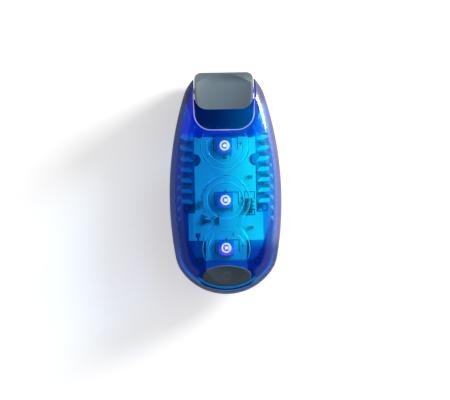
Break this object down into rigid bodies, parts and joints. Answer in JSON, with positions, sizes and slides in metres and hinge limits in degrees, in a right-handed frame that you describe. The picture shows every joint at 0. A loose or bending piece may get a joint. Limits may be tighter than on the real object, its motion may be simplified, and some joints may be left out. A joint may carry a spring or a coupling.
{
  "type": "clip-on led light",
  "caption": "Pocket light with a translucent case, a board with round lensed LEDs, a long push button and a sprung wrap-round clip for a strap or brim.",
  "frame": {"origin": "on the plane that the clip's flat arm lies on, under the middle of the whole light", "axes": "+Z out of the front face, +Y towards the clip's thumb tab, +X to the right seen from the front with the tab at the top"},
  "size_m": [0.037, 0.0732, 0.0248],
  "materials": {
    "cover_plastic": "translucent blue, polished",
    "case_plastic": "translucent blue, polished",
    "seal_rubber": "matte",
    "clip_plastic": "fine satin",
    "pin_steel": "ground",
    "spring_wire": "drawn",
    "button_plastic": "fine satin",
    "switch_plastic": "moulded",
    "plunger_plastic": "moulded",
    "board_laminate": "white solder mask",
    "led_package": "moulded",
    "led_chip": "lit",
    "led_lens": "clear",
    "chip_plastic": "moulded",
    "resistor_body": "film",
    "capacitor_body": "fired ceramic",
    "solder": "satin",
    "battery_steel": "satin",
    "contact_metal": "plated",
    "battery_cover_plastic": "fine satin"
  },
  "bodies": {
    "case": {"front_cover": "cover_plastic", "rear_case": "case_plastic", "case_seal": "seal_rubber", "pivot_pin": "pin_steel", "clip_spring": "spring_wire", "switch_body": "switch_plastic", "circuit_board": "board_laminate", "led_1": "led_package", "led_2": "led_package", "led_3": "led_package", "led_chips": "led_chip", "led_lenses": "led_lens", "controller_chip": "chip_plastic", "chip_resistors": "resistor_body", "capacitor": "capacitor_body", "solder_joints": "solder", "battery": "battery_steel", "battery_minus_contact": "contact_metal", "battery_plus_contact": "contact_metal"},
    "lever": {"clip_lever": "clip_plastic"},
    "push": {"button": "button_plastic", "switch_plunger": "plunger_plastic"},
    "cap": {"battery_cover": "battery_cover_plastic", "battery_cover_seal": "seal_rubber"}
  },
  "joints": [
    {"name": "clip_open", "type": "hinge", "parent": "case", "child": "lever", "pos_m": [0, 0.031, 0.01235], "axis": [1, 0, 0], "range_deg": [0, 22], "stiffness_Nm_per_rad": 0.15, "springref_deg": -40.11, "deforming": ["clip_spring"]},
    {"name": "button_press", "type": "slide", "parent": "case", "child": "push", "axis": [0, 0, -1], "range_m": [0, 0.0005], "stiffness_N_per_m": 1500, "springref_m": -0.0005},
    {"name": "battery_cover_turn", "type": "hinge", "parent": "case", "child": "cap", "pos_m": [0, -0.002, 0.0078], "axis": [0, 0, -1], "range_deg": [0, 60]}
  ]
}
